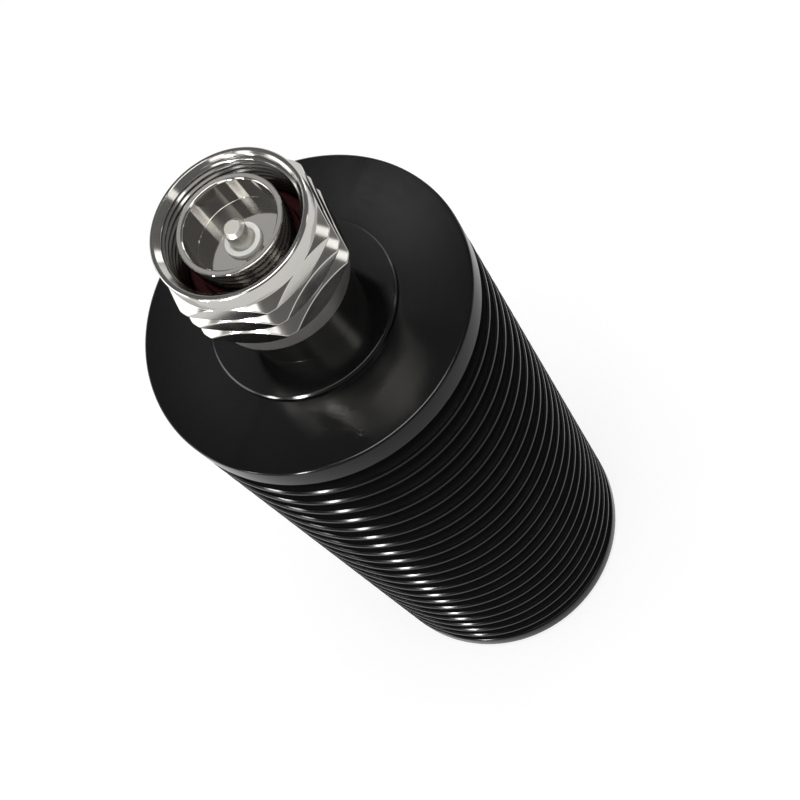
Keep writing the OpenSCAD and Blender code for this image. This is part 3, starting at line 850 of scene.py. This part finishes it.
class DUMMYLOAD_OT_inner_pieces(Operator):
    """Gives the pin and the pieces inside the bore their finishes"""
    bl_idname = "dummy_load.inner_pieces"
    bl_label = "Inner pieces"

    def execute(self, context):
        colours = context.scene.dummy_load.finishes
        silver = silver_plated(colours)
        ptfe = white_ptfe(colours)
        steel = finish("steel finish", colours.steel, 1.0, (0.28, 0.38), marks=0.2, spacing=0.2)
        dark_steel = finish("dark steel finish", colours.dark_steel, 1.0, (0.35, 0.5), grain=0.3)
        brass = finish("brass finish", colours.brass, 1.0, (0.2, 0.3), marks=0.2, spacing=0.15)
        copper = finish("plated copper finish", colours.copper, 1.0, (0.25, 0.35), grain=0.2)
        aluminium = finish("plain aluminium finish", colours.aluminium, 1.0, (0.25, 0.35), marks=0.25,
                           spacing=0.2)
        ceramic = finish("white ceramic finish", colours.ceramic, 0.0, (0.45, 0.6), mottle=0.6, grain=0.4,
                         grain_size=0.1)
        film = finish("film finish", colours.film, 0.0, (0.4, 0.6), mottle=0.5, grain=0.3, grain_size=0.1)
        rubber = finish("black rubber finish", colours.rubber, 0.0, (0.45, 0.6), grain=0.4, grain_size=0.15)
        finishes = {"centre_pin": silver, "lead_tab": silver, "rear_bead": ptfe, "plug_seal": rubber,
                    "lock_washer": steel, "flange_washers": steel, "flange_screws": dark_steel,
                    "ring_nut": brass, "snap_ring": brass, "carrier": aluminium,
                    "termination_flange": copper, "substrate": ceramic, "ceramic_lid": ceramic,
                    "resistor_film": film}
        for node, material in finishes.items():
            dress(node, material)
        return {"FINISHED"}


class DUMMYLOAD_OT_stage(Operator):
    """Sets up the camera, the floor, the room and the lamps"""
    bl_idname = "dummy_load.stage"
    bl_label = "Stage"

    def execute(self, context):
        stage = context.scene.dummy_load.stage
        context.scene.view_settings.view_transform = "Standard"
        self.add_camera(context.scene, stage)
        self.add_floor(context.scene, stage)
        self.add_room(context.scene, stage)
        self.add_lamps(context.scene, stage)
        return {"FINISHED"}

    @staticmethod
    def direction(azimuth, elevation):
        """Unit vector towards a place; azimuth 0 is where a camera that looks along +Y stands."""
        flat = math.cos(elevation)
        return Vector((flat * math.sin(azimuth), -flat * math.cos(azimuth), math.sin(elevation)))

    def add_camera(self, scene, stage):
        """Camera at its distance from the aim, turned about its line of sight by the roll."""
        data = bpy.data.cameras.new("camera")
        data.lens = stage.lens
        data.clip_start = 1 * MM
        camera = bpy.data.objects.new("camera", data)
        scene.collection.objects.link(camera)
        towards = self.direction(stage.azimuth, stage.elevation)
        upright = towards.to_track_quat("Z", "Y").to_matrix().to_4x4()
        place = Matrix.Translation(Vector(stage.aim) + towards * stage.distance)
        camera.matrix_world = place @ upright @ Matrix.Rotation(-stage.roll, 4, "Z")
        scene.camera = camera

    @staticmethod
    def pale_grey():
        """Matt grey that glows white to the camera and in reflections, more so far away."""
        material = bpy.data.materials.new("pale grey")
        material.use_nodes = True
        tree = material.node_tree
        tree.nodes.new("ShaderNodeTexCoord")
        shader = tree.nodes["Principled BSDF"]
        shader.inputs["Base Color"].default_value = (FLOOR_GREY, FLOOR_GREY, FLOOR_GREY, 1)
        shader.inputs["Roughness"].default_value = 0.9
        shader.inputs["Specular IOR Level"].default_value = 0.0
        shader.inputs["Emission Strength"].default_value = 1.0
        path = tree.nodes.new("ShaderNodeLightPath")
        seen = math_node(tree, "MAXIMUM", path.outputs["Is Camera Ray"], path.outputs["Is Glossy Ray"])
        seen = math_node(tree, "MAXIMUM", seen, path.outputs["Is Transmission Ray"])
        glow = place_mask(tree, "Radius", NEAR_DISTANCE, FAR_DISTANCE, NEAR_GLOW, FAR_GLOW)
        tree.links.new(math_node(tree, "MULTIPLY", seen, glow), shader.inputs["Emission Color"])
        return material

    def add_floor(self, scene, stage):
        """Floor that keeps the part's shadow, with a low wall round it.

        The points are P(i, j) = (R cos a_j, R sin a_j, i H), with i = 0 for the floor's rim and 1 for the
        wall's top.
        """
        a = even_angles(WALL_COLUMNS)
        ring = stage.floor_size / 2 * np.stack([np.cos(a), np.sin(a), np.zeros(WALL_COLUMNS)], axis=-1)
        points = np.concatenate([ring, ring + [0, 0, stage.wall_height]])
        index = np.arange(WALL_COLUMNS)
        after = np.roll(index, -1)
        wall = np.stack([after, index, index + WALL_COLUMNS, after + WALL_COLUMNS], axis=-1)
        mesh = bpy.data.meshes.new("floor")
        mesh.from_pydata(points.tolist(), [], [index.tolist(), *wall.tolist()])
        mesh.materials.append(self.pale_grey())
        floor = bpy.data.objects.new("floor", mesh)
        scene.collection.objects.link(floor)

    def add_room(self, scene, stage):
        """Room that is pale grey at the horizon and darker overhead."""
        world = bpy.data.worlds.new("room")
        scene.world = world
        world.use_nodes = True
        tree = world.node_tree
        split = tree.nodes.new("ShaderNodeSeparateXYZ")
        tree.links.new(tree.nodes.new("ShaderNodeTexCoord").outputs["Generated"], split.inputs[0])
        fade = smooth_step(tree, split.outputs["Z"], HORIZON_END, ZENITH_START, stage.horizon, stage.zenith)
        tree.links.new(fade, tree.nodes["Background"].inputs["Strength"])
        tree.nodes["Background"].inputs["Color"].default_value = (1, 1, 1, 1)

    def add_lamps(self, scene, stage):
        """Soft boxes round the part, all at one distance from the plug's foot.

        Each has a name, an azimuth, an elevation, a width and a height, all in degrees, and a brightness.
        """
        boxes = [
            ("window", -15, 5, 44, 18, 1.5),
            ("bank low", -3, 15, 14, 7, 2.1),
            ("bank middle", 26, 28.5, 13, 10, 2.3),
            ("strip", 47, 17, 4, 24, 160.0),
            ("bank high", 59, 36, 15, 12, 2.3),
            ("side", 135.5, 39.6, 9, 8, 1.6),
            ("corner", 178, 22, 8, 8, 1.7),
            ("far", -147, 14, 12, 14, 2.1),
            ("strip low", 23, 13, 6, 5, 90.0),
            ("face", -87.5, 53.6, 5, 2.6, 2.3),
            ("face left", -65, 54.7, 3.5, 3, 0.6),
            ("face oval", 137.6, 60, 9, 8, 2.3),
            ("back", -75, 50.5, 8, 8, 0.4),
            ("square left", 34, 51.3, 16, 1.2, 3.5),
            ("square right", 141, 51.3, 13, 1.2, 3.5),
            ("fill", 104, 66, 40, 26, 0.4),
            ("overhead", 104, 86, 28, 28, 7.0),
        ]
        aim = Vector((0, 0, PAD_Z))
        for name, azimuth, elevation, width, height, brightness in boxes:
            data = bpy.data.lights.new(name, "AREA")
            data.shape = "RECTANGLE"
            data.size = 2 * stage.lamp_distance * math.tan(math.radians(width / 2))
            data.size_y = 2 * stage.lamp_distance * math.tan(math.radians(height / 2))
            data.energy = brightness * math.pi * data.size * data.size_y
            lamp = bpy.data.objects.new(name, data)
            scene.collection.objects.link(lamp)
            lamp.visible_diffuse = not name.startswith(HIGHLIGHT_LAMPS)
            towards = self.direction(math.radians(azimuth), math.radians(elevation))
            lamp.location = aim + towards * stage.lamp_distance
            lamp.rotation_euler = towards.to_track_quat("Z", "Y").to_euler()


class DUMMYLOAD_PT_sidebar(Panel):
    """Lists the pieces in the 3D view's sidebar"""
    bl_label = "RF dummy load"
    bl_idname = "DUMMYLOAD_PT_sidebar"
    bl_space_type = "VIEW_3D"
    bl_region_type = "UI"
    bl_category = "Dummy load"

    def draw(self, context):
        for operator in OPERATORS:
            self.layout.operator(operator.bl_idname)


GROUPS = (HeatSinkSizes, PlugSizes, NutSizes, Finishes, StageSettings, DummyLoadSettings)
OPERATORS = (DUMMYLOAD_OT_heat_sink, DUMMYLOAD_OT_connector_body, DUMMYLOAD_OT_coupling_nut,
             DUMMYLOAD_OT_rings, DUMMYLOAD_OT_inner_pieces, DUMMYLOAD_OT_stage)
CLASSES = (*GROUPS, *OPERATORS, DUMMYLOAD_PT_sidebar)


def register():
    for cls in CLASSES:
        bpy.utils.register_class(cls)
    bpy.types.Scene.dummy_load = PointerProperty(type=DummyLoadSettings)


def unregister():
    del bpy.types.Scene.dummy_load
    for cls in reversed(CLASSES):
        bpy.utils.unregister_class(cls)


def main():
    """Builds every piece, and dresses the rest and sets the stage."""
    register()
    bpy.ops.dummy_load.heat_sink()
    bpy.ops.dummy_load.connector_body()
    bpy.ops.dummy_load.coupling_nut()
    bpy.ops.dummy_load.rings()
    bpy.ops.dummy_load.inner_pieces()
    bpy.ops.dummy_load.stage()


if __name__ == "__main__":
    main()
